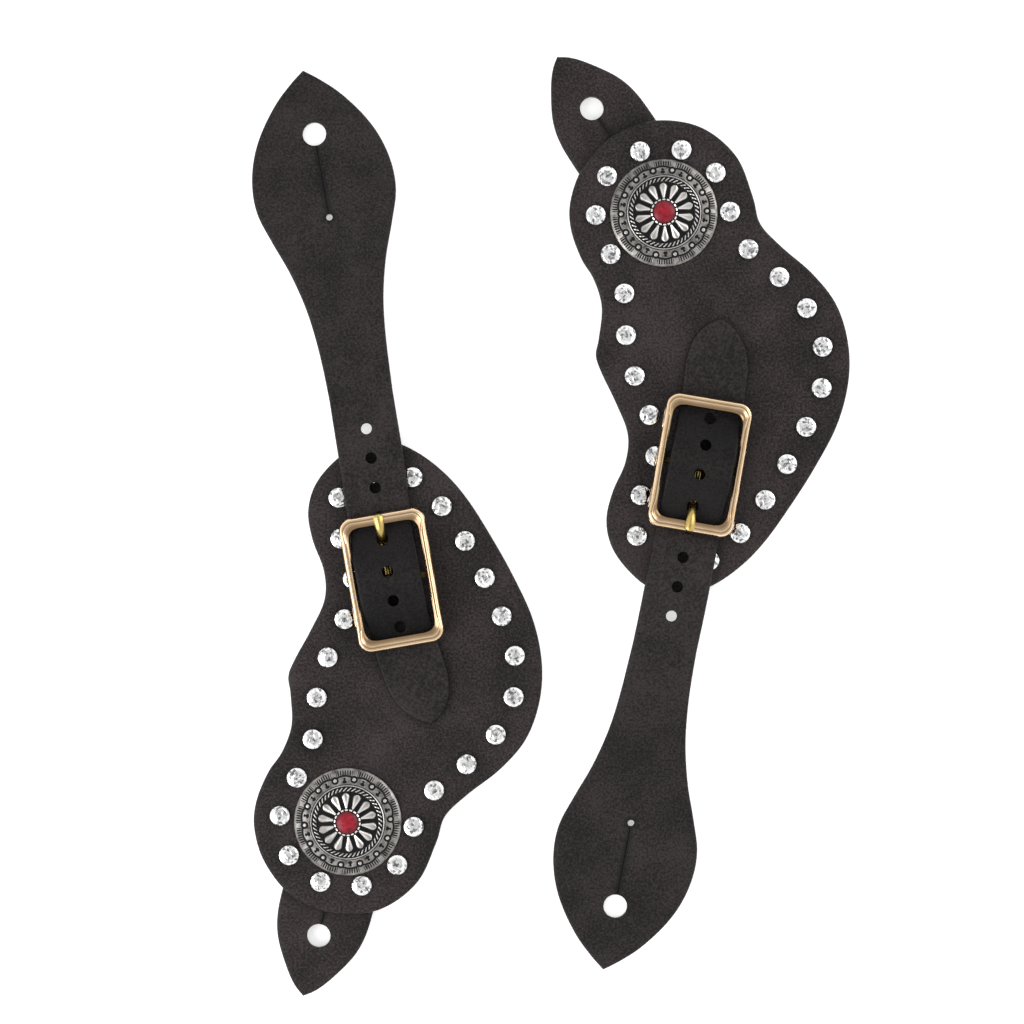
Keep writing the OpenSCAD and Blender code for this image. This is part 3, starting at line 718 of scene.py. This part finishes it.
def concho_relief(r, turn, dark_way):
    """Height in millimetres, patina with painted shade, and polish of the concho's face."""
    pitch = 2 * math.pi / PETALS
    # Angle from the nearest petal, and from the nearest cusp
    petal = (turn + pitch / 2) % pitch - pitch / 2
    cusp = turn % pitch - pitch / 2
    base = np.interp(r, [0, 4.0, 4.3, 5.2, 10.5, 12.6, 12.95, 13.5, 16.4, 18.2, 19.05],
                     [SEAT_Z, SEAT_Z, 3.2, 2.75, 2.3, 2.1, 2.15, 2.25, 1.75, 1.15, 0.55])
    height, patina_and_shade = base.copy(), np.zeros_like(r)
    # Petals on a black ground
    ground = step_up(r, 4.75, 0.2) * (1 - step_up(r, 10.75, 0.2))
    wide = np.interp(r, [5.0, 6.0, 7.5, 8.8, 9.4], [0.5, 0.68, 1.08, 1.42, 1.46])
    wide = np.where(r > 9.3, 1.46 * np.sqrt(np.clip(1 - ((r - 9.3) / 1.12) ** 2, 0, 1)), wide)
    wide = np.where(r < 5.5, 0.6 * np.sqrt(np.clip(1 - ((5.5 - r) / 0.5) ** 2, 0, 1)), wide)
    across = np.abs(r * np.sin(petal)) / np.maximum(wide, 1e-3)
    body = np.sqrt(np.clip(1 - across ** 2, 0, 1))
    on_petal = (across < 1) & (r > 5.0) & (r < 10.42)
    height += np.where(on_petal, 0.95 * body, 0)
    worn = np.interp(r, [5, 6.6, 8.2, 10.4], [0.85, 0.8, 0.5, 0.22])
    polish = np.where(on_petal, step_up(body, 0.5, 0.45) * worn, 0)
    patina_and_shade = np.maximum(patina_and_shade, ground * np.where(on_petal, 1 - step_up(body, 0.28, 0.2), 1))
    # Bezel of short bars round the stone
    bar = np.cos(18 * turn)
    bezel = step_up(r, 4.12, 0.12) * (1 - step_up(r, 4.85, 0.16))
    height += bezel * (0.35 + 0.35 * step_up(bar, -0.45, 0.5))
    polish = np.maximum(polish, bezel)
    patina_and_shade = np.maximum(patina_and_shade, bezel * (1 - step_up(bar, -0.45, 0.35)))
    patina_and_shade = np.maximum(patina_and_shade, 1 - step_up(r, 4.2, 0.1))
    # Twisted rope
    rope = step_up(r, 10.95, 0.2) * (1 - step_up(r, 12.5, 0.2))
    strand = np.cos(48 * turn + 4.0 * (r - 11.75))
    roundness = np.sqrt(np.clip(1 - ((r - 11.72) / 0.86) ** 2, 0, 1))
    height += rope * (0.3 * roundness + 0.45 * roundness * step_up(strand, 0, 1.1))
    polish = np.maximum(polish, 0.5 * rope)
    patina_and_shade = np.maximum(patina_and_shade, rope * (1 - step_up(strand * roundness, 0.5, 0.35)))
    patina_and_shade = np.maximum(patina_and_shade, groove(r - 10.8, 0.5))
    patina_and_shade = np.maximum(patina_and_shade, groove(r - 12.55, 0.5))
    # Thin raised ring
    ring = groove(r - 12.93, 0.42)
    height += 0.5 * ring
    patina_and_shade *= 1 - ring
    polish = np.maximum(polish, 0.4 * ring)
    patina_and_shade = np.maximum(patina_and_shade, groove(r - 13.32, 0.34))
    # Scallops with rings at their cusps
    x, y = r * np.sin(cusp), r * np.cos(cusp) - 15.25
    from_ring = np.sqrt(x * x + y * y)
    bow = 15.35 + 1.1 * np.cos(petal / pitch * math.pi) ** 0.6
    arch = groove(r - bow, 0.66) * step_up(from_ring, 1.1, 0.2)
    circle = groove(from_ring - 0.98, 0.7)
    cut = np.maximum(arch, circle)
    # Small dagger stamps under the arches
    sx, sy = r * np.sin(petal), r * np.cos(petal) - 14.75
    stem = groove(sx, 0.62) * (np.abs(sy) < 0.85)
    head = 1 - step_up(np.sqrt((sx / 0.8) ** 2 + ((sy + 0.42) / 0.56) ** 2), 1, 0.3)
    foot = 1 - step_up(np.sqrt((sx / 0.5) ** 2 + ((sy - 0.62) / 0.36) ** 2), 1, 0.35)
    cut = np.maximum(cut, np.maximum(stem * 0.9, np.maximum(head, foot)))
    # Groups of ticks outside the arches
    ticks = 7
    span = math.radians(19.5)
    which = petal / span * ticks
    tick = 1 - step_up(np.abs(which - np.floor(which) - 0.5) * span / ticks * r, 0.26, 0.14)
    inner = bow + 0.42
    tick *= (np.abs(petal) < span / 2) * step_up(r, inner, 0.15) * (1 - step_up(r, 18.3, 0.15))
    cut = np.maximum(cut, tick)
    # The cuts' walls are black too, so the metal starts at their upper edges
    height -= 0.16 * cut ** 2
    height += 0.12 * (1 - step_up(from_ring, 0.6, 0.3))
    polish = np.maximum(polish, 0.5 * (1 - step_up(from_ring, 0.6, 0.3)))
    patina_and_shade = np.maximum(patina_and_shade, np.clip(1.8 * cut, 0, 1))
    # Painted shade in a thin band beyond the rope and down the slope to the rim
    patina_and_shade = np.maximum(patina_and_shade, 0.3 * (groove(r - 14.2, 0.9) + groove(r - 18.9, 0.8)))
    patina_and_shade = np.maximum(patina_and_shade, 0.2 * step_up(r, 16.2, 0.8))
    # The face is darker towards one side
    patina_and_shade += 0.3 * (1 - patina_and_shade) * step_up(np.cos(turn - dark_way), 0.7, 0.7)
    return height, patina_and_shade, polish


def concho(side, turned, dark_way):
    """The round silver plate. turned is where its first petal points and dark_way where it is darkest."""
    rings = np.concatenate([np.linspace(0, STONE_R, 4)[1:], np.linspace(4.1, 18.4, 140),
                            [18.6, 18.8, 18.95, 19.03]])
    columns = PETALS * 56
    turn = np.linspace(0, 2 * math.pi, columns, endpoint=False)
    r, a = np.meshgrid(rings, turn, indexing="ij")
    height, patina_and_shade, polish = concho_relief(r, a, dark_way - turned)
    verts = np.stack([r * np.cos(a), r * np.sin(a), height], axis=2).reshape(-1, 3)
    edge = np.column_stack([CONCHO_R * np.cos(turn), CONCHO_R * np.sin(turn), np.full(columns, 0.4)])
    foot = np.column_stack([CONCHO_R * np.cos(turn), CONCHO_R * np.sin(turn), np.full(columns, 0.0)])
    verts = np.vstack([verts, edge, foot, [[0, 0, SEAT_Z]], [[0, 0, 0]]])
    rows = len(rings) + 2
    faces = grid_faces(rows, columns)
    centre, under = len(verts) - 2, len(verts) - 1
    faces += [[centre, j, (j + 1) % columns] for j in range(columns)]
    last = (rows - 1) * columns
    faces += [[under, last + (j + 1) % columns, last + j] for j in range(columns)]
    c, s = math.cos(turned), math.sin(turned)
    verts = verts @ np.array([[c, s, 0], [-s, c, 0], [0, 0, 1]])
    verts[:, :2] += concho_centre(side)
    verts[:, 2] += TOP_Z - 0.02
    # Grid quads face down when rows run outwards, so they are turned
    faces = [f[::-1] if len(f) == 4 else f for f in faces]
    obj = make(side + "_concho_silver", verts, faces, [MATERIAL["silver"]])
    for label, values in (("patina_and_shade", patina_and_shade), ("polish", polish)):
        paint(obj, label, np.concatenate([values.reshape(-1), np.zeros(2 * columns), [1, 0]]))
    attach(obj, side + "_strap")
    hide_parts(side + "_concho")


def cabochon(side):
    """The red stone in the middle of the concho."""
    shoulder, rise = 0.55, 1.4
    dome = [(0, 0), (STONE_R, 0), (STONE_R + 0.03, 0.35)]
    for t in np.linspace(0.08, math.pi / 2, 18)[:-1]:
        dome.append((STONE_R * math.cos(t), shoulder + rise * math.sin(t)))
    verts, faces = lathe(dome + [(0, shoulder + rise)], 64)
    # Painted shade, darkest at the rim of the dome
    rim = np.clip(np.linalg.norm(verts[:, :2], axis=1) / STONE_R, 0, 1) ** 4
    verts[:, :2] += concho_centre(side)
    verts[:, 2] += TOP_Z + SEAT_Z
    obj = make(side + "_concho_cabochon", verts, faces, [MATERIAL["stone"]])
    paint(obj, "patina_and_shade", 0.85 * rim)
    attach(obj, side + "_strap")
    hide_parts(side + "_concho_stone")


# ---------------------------------------------------------------- crystals

def brilliant(draw):
    """A round stone of many small facets, each stone a little different. Its girdle is at z = 0."""
    # Rings of facet corners as (radius, corners, height), from the table down
    few, many = 8, 16
    rings = [(1.1, few, 0.62), (2.0, few, 0.48), (2.75, many, 0.29), (3.46, many, 0.03),
             (3.46, many, -0.08), (1.2, few, -0.4)]
    verts, where = [], []
    for number, (radius, count, z) in enumerate(rings):
        loose = 0.07 if number < 3 else 0
        where.append([len(verts) + k for k in range(count)])
        for k in range(count):
            a = 2 * math.pi * (k + 0.5 * (number % 2)) / count + draw.uniform(-loose, loose)
            r = radius + draw.uniform(-loose, loose)
            verts.append((r * math.cos(a), r * math.sin(a), z + draw.uniform(-loose, loose) * 0.9))
    top, bottom = len(verts), len(verts) + 1
    verts += [(0, 0, 0.6), (0, 0, -0.5)]
    faces = [[top, where[0][k], where[0][(k + 1) % few]] for k in range(few)]
    for upper, lower in zip(where[:-1], where[1:]):
        n, m = len(upper), len(lower)
        for k in range(m):
            a, b = upper[k * n // m], upper[((k + 1) * n // m) % n]
            c, d = lower[k], lower[(k + 1) % m]
            faces.append([a, c, d])
            if a != b:
                faces.append([a, d, b])
        if n > m:
            faces += [[upper[2 * k], upper[2 * k + 1], lower[k]] for k in range(m)]
    faces += [[bottom, where[-1][(k + 1) % few], where[-1][k]] for k in range(few)]
    return np.array(verts), faces


def turned_about(verts, angle, tilt, way):
    """Points turned about Z, then leaned a little towards a way."""
    c, s = math.cos(angle), math.sin(angle)
    spin = np.array([[c, -s, 0], [s, c, 0], [0, 0, 1]])
    ax = np.array([math.cos(way), math.sin(way), 0]) * tilt
    lean = np.eye(3) + np.array([[0, 0, ax[1]], [0, 0, -ax[0]], [-ax[1], ax[0], 0]])
    return verts @ spin.T @ lean.T


def crystals(side, seed):
    """The crystals, their cups and the pressed backs of the cups' stems."""
    draw = random.Random(seed)
    stones, cups, backs = Builder(), Builder(), Builder()
    # Profiles as (radius, height): a cup over the panel's face, a rivet back over the panel's underside
    cup = [(1.2, 0.15), (3.1, 0.3), (3.4, 0.6), (3.43, 0.88), (3.48, 0.94), (3.54, 0.88), (3.57, 0.7),
           (3.58, 0.2), (3.62, -0.1), (1.0, -0.15), (1.2, 0.15)]
    back = [(0, 0.6), (2.6, 0.6), (2.6, 0.05), (2.5, -0.12), (2.2, -0.22), (1.5, -0.2), (1.2, -0.05),
            (0.9, 0.1), (0, 0.12)]
    stone_z = 0.88
    for centre in crystal_centres(side):
        at = np.array([*centre, 0.0])
        gem, facets = brilliant(draw)
        angle, tilt, way = draw.uniform(0, math.pi / 4), draw.uniform(0, 0.05), draw.uniform(0, 6.28)
        stone = turned_about(gem, angle, tilt, way)
        stones.add(stone + at + [0, 0, TOP_Z + stone_z], facets)
        verts, faces = lathe(cup, 32)
        cups.add(verts + at + [0, 0, TOP_Z], faces[::-1])
        verts, faces = lathe(back[::-1], 28)
        backs.add(verts + at + [0, 0, PANEL_Z], faces)
    obj = stones.object(side + "_crystal_stones", [MATERIAL["crystal"]], smooth=False)
    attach(obj, side + "_strap")
    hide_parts(side + "_crystals")
    obj = cups.object(side + "_crystal_rims", [MATERIAL["cup"]], sharp=50)
    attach(obj, side + "_strap")
    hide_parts(side + "_crystal_cups")
    obj = backs.object(side + "_rivet_caps", [MATERIAL["steel"]], sharp=60)
    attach(obj, side + "_strap")
    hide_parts(side + "_rivet_backs")


# ---------------------------------------------------------------- buckle

def buckle_axes(side):
    """The buckle's origin on its bar and its X and Y directions, Y towards the tongue's tip."""
    joint = JOINTS[side + "_buckle_rock"]
    origin = np.array(joint["pos_m"]) / MM
    low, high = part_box(side + "_tongue")
    tip = np.array((low + high) / 2 / MM) - origin
    x = np.array(joint["axis"], float)
    y = np.cross([0, 0, 1], x)
    if y @ tip < 0:
        x, y = -x, -y
    return origin, x, y


def tongue_shift(side):
    """How far the tongue lies off the buckle's middle, along the bar."""
    origin, x, _ = buckle_axes(side)
    co, _ = cad_arrays(side + "_tongue")
    across = (co - origin) @ x
    return (across.min() + across.max()) / 2


def in_buckle(side, verts):
    """Points given as buckle X, buckle Y and height over the floor."""
    origin, x, y = buckle_axes(side)
    verts = np.asarray(verts, float).reshape(-1, 3)
    out = verts[:, :1] * x + verts[:, 1:2] * y
    out[:, :2] += origin[:2]
    out[:, 2] = verts[:, 2]
    return out


def along_rays(line, centre, angles):
    """Where rays from the centre at these angles cross a line of points."""
    at = np.arctan2(line[:, 1] - centre[1], line[:, 0] - centre[0])
    return np.column_stack([np.interp(angles, at, line[:, i]) for i in (0, 1)])


def quarter_paths():
    """Matching outer and opening points of a quarter frame, from the side rail to the end rail."""
    w, l = BUCKLE_GAP / 2 + RAIL_W, BUCKLE_L / 2
    radius = CORNER + RAIL_W / 2
    centre = np.array([8.4, 14.2])
    turn = np.linspace(0, math.pi / 2, 24)
    arc = np.column_stack([w - radius + radius * np.cos(turn), l - radius + radius * np.sin(turn)])
    outer = np.vstack([[[w, centre[1]]], arc, [[centre[0], l]]])
    opening = smooth_line(OPENING[2:6], 12)
    rays = np.linspace(0, math.pi / 2, 22)
    ys, xs = np.linspace(0, centre[1], 9)[:-1], np.linspace(centre[0], 0, 6)[1:]
    edges = []
    for line, x, y in ((outer, w, l), (opening, OPENING[0][0], OPENING[-1][1])):
        edges.append(np.vstack([np.column_stack([np.full(8, x), ys]), along_rays(line, centre, rays),
                                np.column_stack([xs, np.full(5, y)])]))
    return edges


def add_bar(build, side):
    """The buckle's centre bar with its rounded ends, and the lugs that carry it."""
    mid_x = (BUCKLE_GAP + RAIL_W) / 2
    r = BAR_D / 2
    bar = [(0, -mid_x - 1.3), (r * 0.6, -mid_x - 1.1), (r * 0.9, -mid_x - 0.6), (r, -mid_x), (r, mid_x),
           (r * 0.9, mid_x + 0.6), (r * 0.6, mid_x + 1.1), (0, mid_x + 1.3)]
    verts, faces = lathe(bar, 32)
    build.add(in_buckle(side, np.column_stack([verts[:, 2], verts[:, 1], verts[:, 0] + BAR_Z])), faces, 1)
    # Levels of a lug as (height, half width, half length)
    lug = [(BAR_Z - 1.35, 0.7, 0.7), (BAR_Z - 1.0, 1.15, 1.1), (BAR_Z, 1.35, 1.45), (RAIL_Z, 1.35, 1.6),
           (RAIL_Z + 0.6, 1.35, 2.1), (RAIL_Z + 1.5, 1.3, 3.0)]
    turn = np.linspace(0, 2 * math.pi, 24, endpoint=False)
    for s in (-1, 1):
        rows = [(s * mid_x + wx * math.cos(t), wy * math.sin(t), z) for z, wx, wy in lug for t in turn]
        faces = grid_faces(len(lug), len(turn))
        faces += [list(range(len(turn)))[::-1], list(range(len(rows) - len(turn), len(rows)))]
        build.add(in_buckle(side, rows), faces, 1)


def buckle_frame(side):
    """The brass frame, bright on its crest, tarnished in its hollow and with painted shade on its outer edge and
    inner slope, with its bar.
    """
    build = Builder()
    outer, inner = quarter_paths()
    # Half the frame, then the whole: mirrored quarters without their shared points
    flip = np.array([-1, 1])
    outer, inner = [np.vstack([q, (q * flip)[::-1][1:]]) for q in (outer, inner)]
    outer, inner = [np.vstack([q[:-1], -q[:-1]]) for q in (outer, inner)]
    # Section across a rail as (distance from the outer edge, height): a round bar with a soft hollow,
    # and a lip that slopes gently down to the opening where the rail is wider
    crest = [(0.15, 0.1), (0, 0.35), (0.05, 1.3), (0.38, 2.3), (0.68, 2.88), (0.95, 3.16), (1.2, 3.26),
             (1.45, 3.2), (1.72, 3.03), (1.95, 3.05), (2.2, 3.15), (2.42, 3.05), (2.6, 2.84)]
    start, foot = crest[-1]
    rows = []
    for o, i in zip(outer, inner):
        width = np.linalg.norm(i - o)
        way = (i - o) / width
        lip = width - start
        row = [(*(o + way * d), RAIL_Z + z) for d, z in crest]
        for t, fall in ((0.3, 0.14), (0.55, 0.2), (0.8, 0.34), (0.94, 0.6), (1.0, 1.0)):
            row.append((*(o + way * (start + t * lip)), RAIL_Z + foot - fall * (0.5 + 0.45 * lip)))
        row.append((*(o + way * width), RAIL_Z + 1.0))
        row.append((*(o + way * (width - 0.25)), RAIL_Z + 0.55))
        row.append((*(o + way * start), RAIL_Z + 0.1))
        rows.append(row)
    # Tarnish and painted shade along a row: bright on the crest, tarnish in the hollow, painted shade on the outer
    # edge and down the inner slope
    tarnish_and_shade = [0.7, 0.65, 0.6, 0.42, 0.2, 0, 0.06, 0.42, 0.76, 0.62, 0.2, 0.34, 0.64,
               0.72, 0.8, 0.9, 0.95, 1, 1, 1, 1]
    tarnish_and_shade = np.tile(tarnish_and_shade, len(rows))
    verts = np.array(rows).reshape(-1, 3)
    build.add(in_buckle(side, verts), grid_faces(len(rows), len(rows[0]), closed_rows=True, flip=True))
    add_bar(build, side)
    # The bar and lugs take the dark brass that paints their shade
    obj = build.object(side + "_buckle_brass", [MATERIAL["brass"], MATERIAL["dull"]], sharp=50)
    paint(obj, "patina_and_shade", np.pad(tarnish_and_shade, (0, build.count - len(tarnish_and_shade))))
    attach(obj, side + "_buckle")
    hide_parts(side + "_buckle_frame")


def tongue(side):
    """The flat brass tongue with its ring round the bar."""
    build = Builder()
    line = smooth_line(TONGUE_LINE, 10)
    line[:, 1] += TOP_Z
    ahead = np.gradient(line, axis=0)
    ahead /= np.linalg.norm(ahead, axis=1)[:, None]
    normal = np.column_stack([-ahead[:, 1], ahead[:, 0]])
    shift = tongue_shift(side)
    # Flat below, with two flanks that meet in a soft ridge above
    section = [(-0.7, -1), (0.7, -1), (0.95, -0.75), (1, -0.35), (0.9, 0.05), (0.62, 0.5), (0.3, 0.86),
               (0, 1), (-0.3, 0.86), (-0.62, 0.5), (-0.9, 0.05), (-1, -0.35), (-0.95, -0.75)]
    rows = []
    for (u, z), n in zip(line, normal):
        half = np.interp(u, [0, 8, 13, 16, 19, 21.5, 22.8, 23.3, 23.6],
                         [1.25, 1.2, 1.2, 1.35, 1.65, 1.85, 1.8, 1.5, 0.95])
        thick = np.interp(u, [0, 12, 20, 22.8, 23.6], [0.8, 0.8, 0.85, 0.8, 0.5])
        for x, t in section:
            rows.append((x * half + shift, u + n[0] * t * thick, z + n[1] * t * thick))
    count = len(section)
    faces = grid_faces(len(line), count, flip=True)
    faces += [list(range(count)), list(range((len(line) - 1) * count, len(line) * count))[::-1]]
    build.add(in_buckle(side, rows), faces)
    # Ring round the bar
    inner, outer, w = BAR_D / 2 + 0.05, BAR_D / 2 + 1.03, 1.4
    ring = [(inner, -w + 0.2), (inner + 0.2, -w), (outer - 0.35, -w), (outer - 0.08, -w + 0.12),
            (outer, -w + 0.45), (outer, w - 0.45), (outer - 0.08, w - 0.12), (outer - 0.35, w),
            (inner + 0.2, w), (inner, w - 0.2), (inner, -w + 0.2)]
    verts, faces = lathe(ring, 40)
    verts = np.column_stack([verts[:, 2] + shift, verts[:, 1], verts[:, 0] + BAR_Z])
    build.add(in_buckle(side, verts), faces)
    obj = build.object(side + "_tongue_brass", [MATERIAL["tongue"]], sharp=40)
    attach(obj, side + "_tongue")
    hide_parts(side + "_tongue")


# ---------------------------------------------------------------- CAD pieces that stay

def keep(node_name, mat, width):
    """A CAD piece that is shown as it is, with its edges broken."""
    obj = frame["nodes"][node_name]
    obj.data.materials.clear()
    obj.data.materials.append(mat)
    bevel = obj.modifiers.new("edge", "BEVEL")
    bevel.width = width * MM
    bevel.segments = 3
    bevel.limit_method = "ANGLE"
    bevel.angle_limit = math.radians(40)


for number, side in enumerate(SIDES):
    panel(side, 11 + number)
    hanger(side, 21 + number)
    billet(side, 31 + number)
    concho(side, math.radians((94, 92)[number]), math.radians((215, 130)[number]))
    cabochon(side)
    crystals(side, 41 + number)
    buckle_frame(side)
    tongue(side)
    keep(side + "_chape", MATERIAL["chape"], 0.3)
    keep(side + "_chape_rivets", MATERIAL["steel"], 0.12)
    keep(side + "_concho_screw", MATERIAL["steel"], 0.2)


# ---------------------------------------------------------------- stage, light and camera

floor_mat, floor_tree, floor_shader = material("pale_floor", Roughness=0.9, Specular_IOR_Level=0.1,
                                                Emission_Color=(1, 1, 1, 1), Emission_Strength=0.4)
wire(floor_tree, floor_shader, Base_Color=ramp(
    floor_tree, noise(floor_tree, coordinates(floor_tree), 3.0, 2.0),
    [(0.3, (0.95, 0.95, 0.95)), (0.7, (0.96, 0.96, 0.96))]))
# The floor lies just under the pair, so that their undersides show no flicker
far, low = 4000, -0.3
floor = make("floor", [(-far, -far, low), (far, -far, low), (far, far, low), (-far, far, low)],
             [[0, 1, 2, 3]], [floor_mat])

scene = bpy.context.scene
world = bpy.data.worlds.new("studio")
scene.world = world
world.use_nodes = True
tree = world.node_tree
back = tree.nodes["Background"]
direction = tree.nodes.new("ShaderNodeTexCoord").outputs["Generated"]
split = node(tree, "ShaderNodeSeparateXYZ", [("Vector", direction)])
# Bright round the horizon and darker overhead, where flat metal looks
glow = ramp(tree, split.outputs["Z"], [
    (0.0, (0.95, 0.95, 0.95)), (0.35, (1.0, 1.0, 1.0)), (0.8, (0.95, 0.95, 0.95)),
    (0.97, (0.55, 0.55, 0.55)), (1.0, (0.5, 0.5, 0.5))])
tree.links.new(glow, back.inputs["Color"])
back.inputs["Strength"].default_value = 1.15


def area_light(name, place, aim, size, power):
    """A soft light at a place, aimed at a point."""
    light = bpy.data.lights.new(name, "AREA")
    light.shape = "RECTANGLE"
    light.size, light.size_y = size
    light.energy = power
    obj = bpy.data.objects.new(name, light)
    scene.collection.objects.link(obj)
    obj.location = place
    obj.rotation_mode = "QUATERNION"
    obj.rotation_quaternion = (Vector(aim) - Vector(place)).to_track_quat("-Z", "Y")


area_light("key", (-1.1, -0.5, 0.9), (0, 0, 0), (0.9, 1.2), 14)
area_light("fill", (1.2, 0.6, 0.8), (0, 0, 0), (1.0, 1.2), 8)

camera_data = bpy.data.cameras.new("camera")
camera_data.sensor_width = 36
camera_data.lens = 98.8
camera = bpy.data.objects.new("camera", camera_data)
scene.collection.objects.link(camera)
camera.location = (-0.0135, 0.00515, 1.006)
camera.rotation_mode = "QUATERNION"
camera.rotation_quaternion = (1, 0, 0, 0)
scene.camera = camera
scene.view_settings.view_transform = "Standard"
